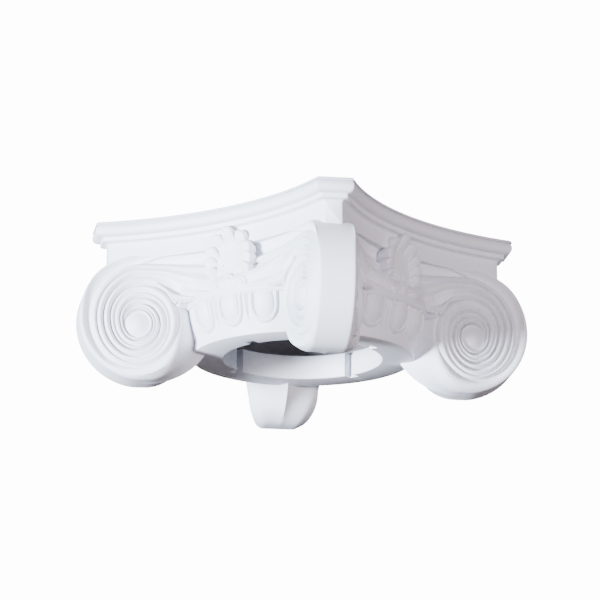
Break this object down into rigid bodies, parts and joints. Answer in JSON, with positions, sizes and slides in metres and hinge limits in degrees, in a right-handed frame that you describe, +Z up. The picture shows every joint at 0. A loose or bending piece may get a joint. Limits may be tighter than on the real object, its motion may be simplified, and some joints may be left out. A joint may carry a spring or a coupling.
{
  "type": "ionic capital",
  "caption": "White cast ionic capital with four diagonal volutes, a hollow-sided abacus and egg-and-dart.",
  "frame": {"origin": "on the axis, level with the underside of the volutes", "axes": "+Z up along the column axis; the four sides face +X, -X, +Y and -Y, and the volutes lie on the diagonals"},
  "size_m": [0.333, 0.333, 0.1546],
  "materials": {
    "white_cast": "matte white cast plaster or polymer stone"
  },
  "bodies": {
    "root": {"ionic_capital": "white_cast"}
  },
  "joints": []
}
